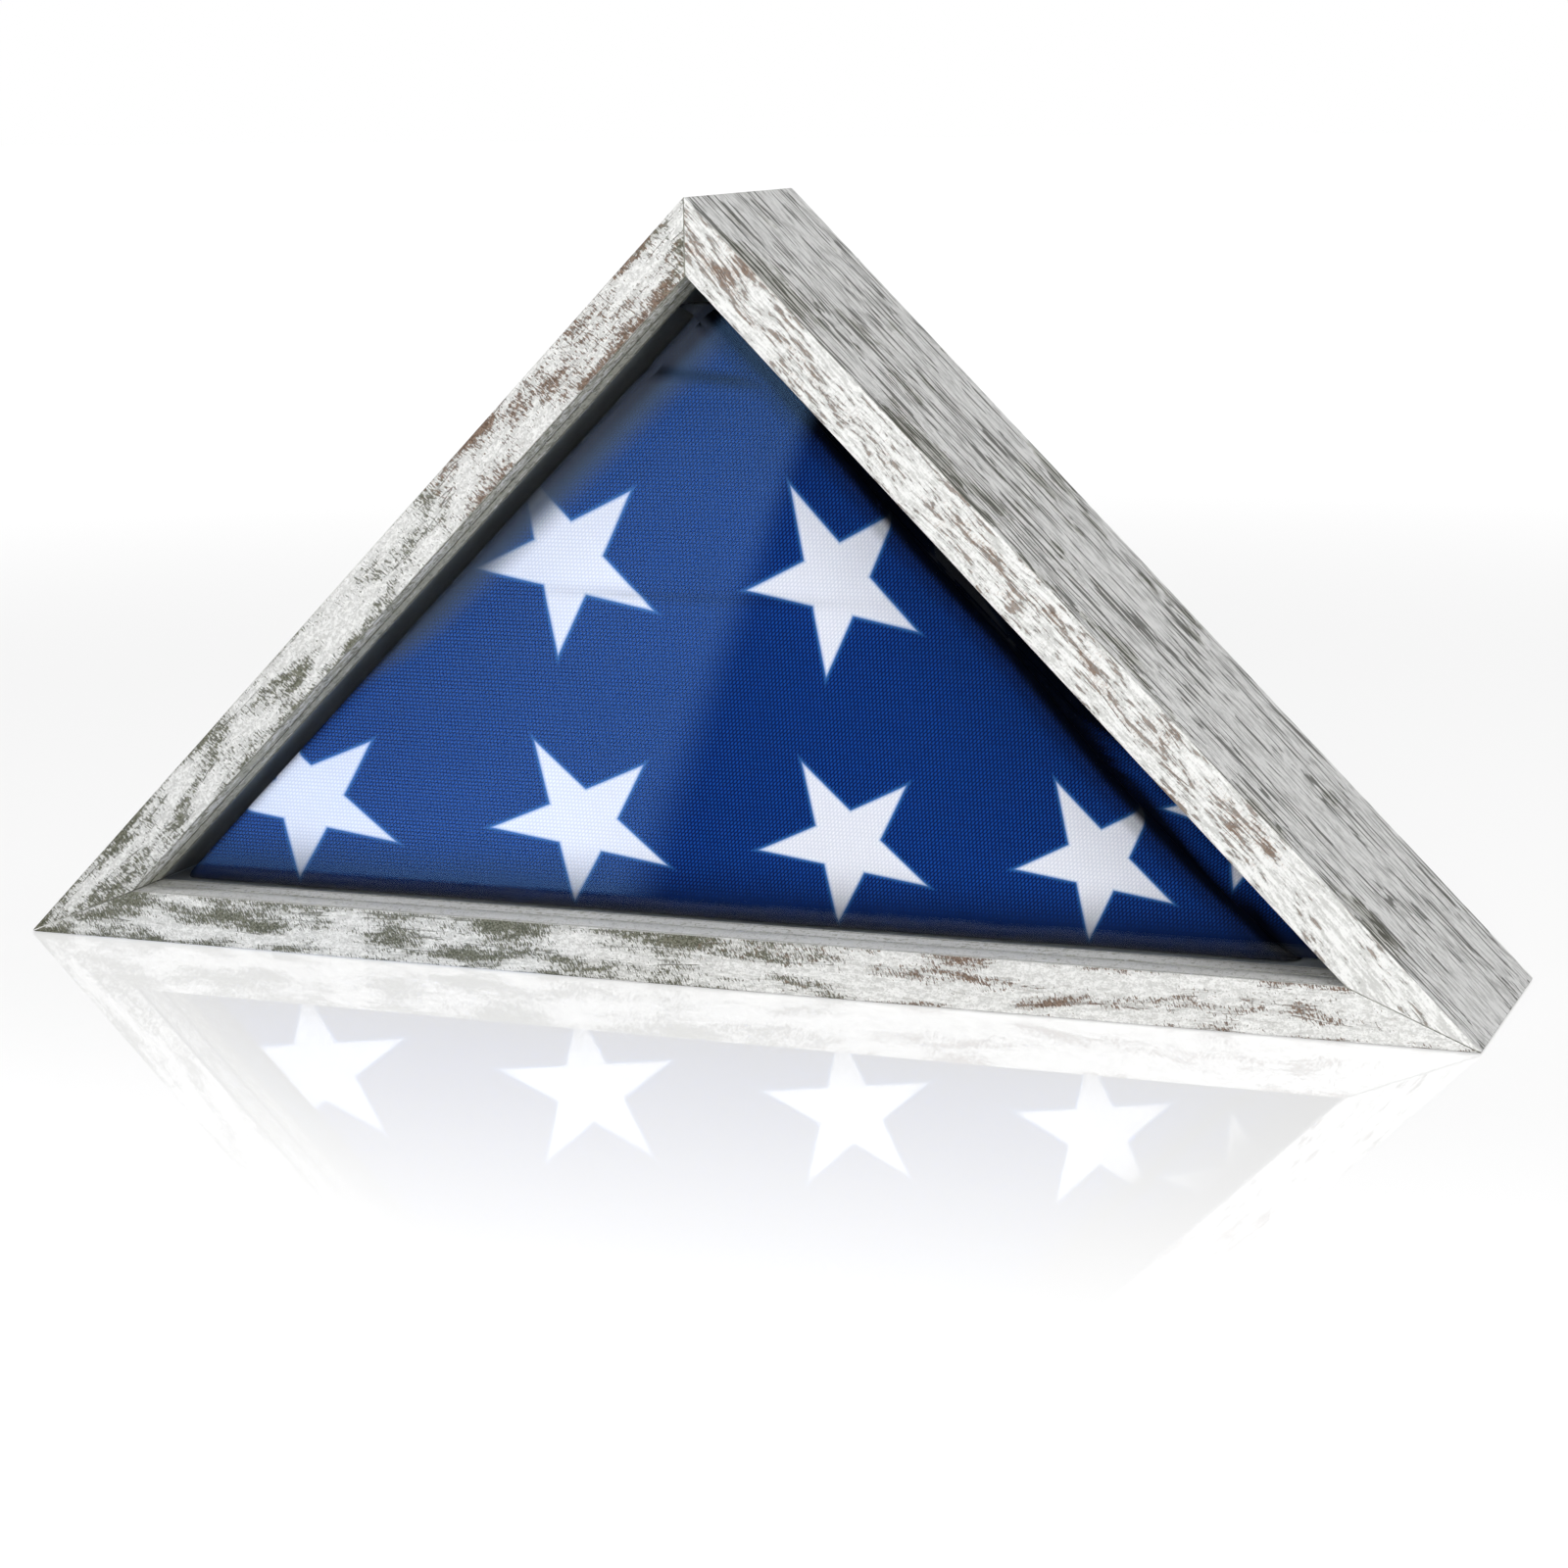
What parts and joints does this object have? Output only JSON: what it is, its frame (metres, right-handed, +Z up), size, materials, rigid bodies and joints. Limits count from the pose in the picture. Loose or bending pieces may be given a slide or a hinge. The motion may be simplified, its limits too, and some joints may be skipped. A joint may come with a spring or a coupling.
{
  "type": "folded flag display case",
  "caption": "Triangular shadow-box case of mitred whitewashed wood with a glazed front, holding a folded starred flag, closed behind by a board with turn buttons and ring hangers.",
  "frame": {"origin": "middle of the face it stands on, which is the underside of the long bottom rail; halfway between the front face and the bumpers' rear faces", "axes": "+X along the long side, to the viewer's right; +Y to the back; +Z up to the right-angled corner"},
  "size_m": [0.4194, 0.083, 0.2098],
  "materials": {
    "whitewashed_wood": "distressed white paint rubbed through to olive-grey and brown wood, matt",
    "charcoal_strip": "charcoal paint, dead matt",
    "fibreboard": "smooth brown hardboard, satin",
    "clear_glass": "clear, polished",
    "flag_cloth": "plain-woven navy blue cloth with white stars",
    "turn_button_metal": "nickel plate, satin",
    "zinc_steel": "bright zinc plate",
    "bumper_rubber": "matt black rubber"
  },
  "bodies": {
    "case": {"frame_bottom_rail": "whitewashed_wood", "frame_right_leg": "whitewashed_wood", "frame_left_leg": "whitewashed_wood", "v_nail_left_outer": "zinc_steel", "v_nail_left_inner": "zinc_steel", "v_nail_right_outer": "zinc_steel", "v_nail_right_inner": "zinc_steel", "v_nail_apex": "zinc_steel", "glass_pane": "clear_glass", "retaining_strip_bottom_rail": "charcoal_strip", "retaining_strip_right_leg": "charcoal_strip", "retaining_strip_left_leg": "charcoal_strip", "strip_brad_bottom_rail_1": "zinc_steel", "strip_brad_bottom_rail_2": "zinc_steel", "strip_brad_right_leg_1": "zinc_steel", "strip_brad_right_leg_2": "zinc_steel", "strip_brad_left_leg_1": "zinc_steel", "strip_brad_left_leg_2": "zinc_steel", "folded_flag": "flag_cloth", "back_panel": "fibreboard", "turn_button_screw_bottom_rail_1": "zinc_steel", "turn_button_screw_bottom_rail_2": "zinc_steel", "turn_button_screw_right_leg_1": "zinc_steel", "turn_button_screw_right_leg_2": "zinc_steel", "turn_button_screw_left_leg_1": "zinc_steel", "turn_button_screw_left_leg_2": "zinc_steel", "bumper_bottom_rail_1": "bumper_rubber", "bumper_bottom_rail_2": "bumper_rubber", "bumper_right_leg_1": "bumper_rubber", "bumper_left_leg_1": "bumper_rubber", "hanger_strap_left": "zinc_steel", "hanger_strap_right": "zinc_steel", "hanger_screw_left_1": "zinc_steel", "hanger_screw_left_2": "zinc_steel", "hanger_screw_right_1": "zinc_steel", "hanger_screw_right_2": "zinc_steel"},
    "turn_button_bottom_rail_1": {"turn_button_bottom_rail_1": "turn_button_metal"},
    "turn_button_bottom_rail_2": {"turn_button_bottom_rail_2": "turn_button_metal"},
    "turn_button_right_leg_1": {"turn_button_right_leg_1": "turn_button_metal"},
    "turn_button_right_leg_2": {"turn_button_right_leg_2": "turn_button_metal"},
    "turn_button_left_leg_1": {"turn_button_left_leg_1": "turn_button_metal"},
    "turn_button_left_leg_2": {"turn_button_left_leg_2": "turn_button_metal"},
    "hanger_ring_left": {"hanger_ring_left": "zinc_steel"},
    "hanger_ring_right": {"hanger_ring_right": "zinc_steel"}
  },
  "joints": [
    {"name": "turn_bottom_rail_1", "type": "hinge", "parent": "case", "child": "turn_button_bottom_rail_1", "pos_m": [-0.084, 0.0374, 0.00515], "axis": [0, 1, 0], "range_deg": [-90, 90]},
    {"name": "turn_bottom_rail_2", "type": "hinge", "parent": "case", "child": "turn_button_bottom_rail_2", "pos_m": [0.084, 0.0374, 0.00515], "axis": [0, 1, 0], "range_deg": [-90, 90]},
    {"name": "turn_right_leg_1", "type": "hinge", "parent": "case", "child": "turn_button_right_leg_1", "pos_m": [0.14336, 0.0374, 0.05936], "axis": [0, 1, 0], "range_deg": [-90, 90]},
    {"name": "turn_right_leg_2", "type": "hinge", "parent": "case", "child": "turn_button_right_leg_2", "pos_m": [0.05516, 0.0374, 0.14756], "axis": [0, 1, 0], "range_deg": [-90, 90]},
    {"name": "turn_left_leg_1", "type": "hinge", "parent": "case", "child": "turn_button_left_leg_1", "pos_m": [-0.05516, 0.0374, 0.14756], "axis": [0, 1, 0], "range_deg": [-90, 90]},
    {"name": "turn_left_leg_2", "type": "hinge", "parent": "case", "child": "turn_button_left_leg_2", "pos_m": [-0.14336, 0.0374, 0.05936], "axis": [0, 1, 0], "range_deg": [-90, 90]},
    {"name": "ring_left_swing", "type": "hinge", "parent": "case", "child": "hanger_ring_left", "pos_m": [-0.06, 0.0385, 0.104], "axis": [1, 0, 0], "range_deg": [0, 180]},
    {"name": "ring_right_swing", "type": "hinge", "parent": "case", "child": "hanger_ring_right", "pos_m": [0.06, 0.0385, 0.104], "axis": [1, 0, 0], "range_deg": [0, 180]}
  ]
}
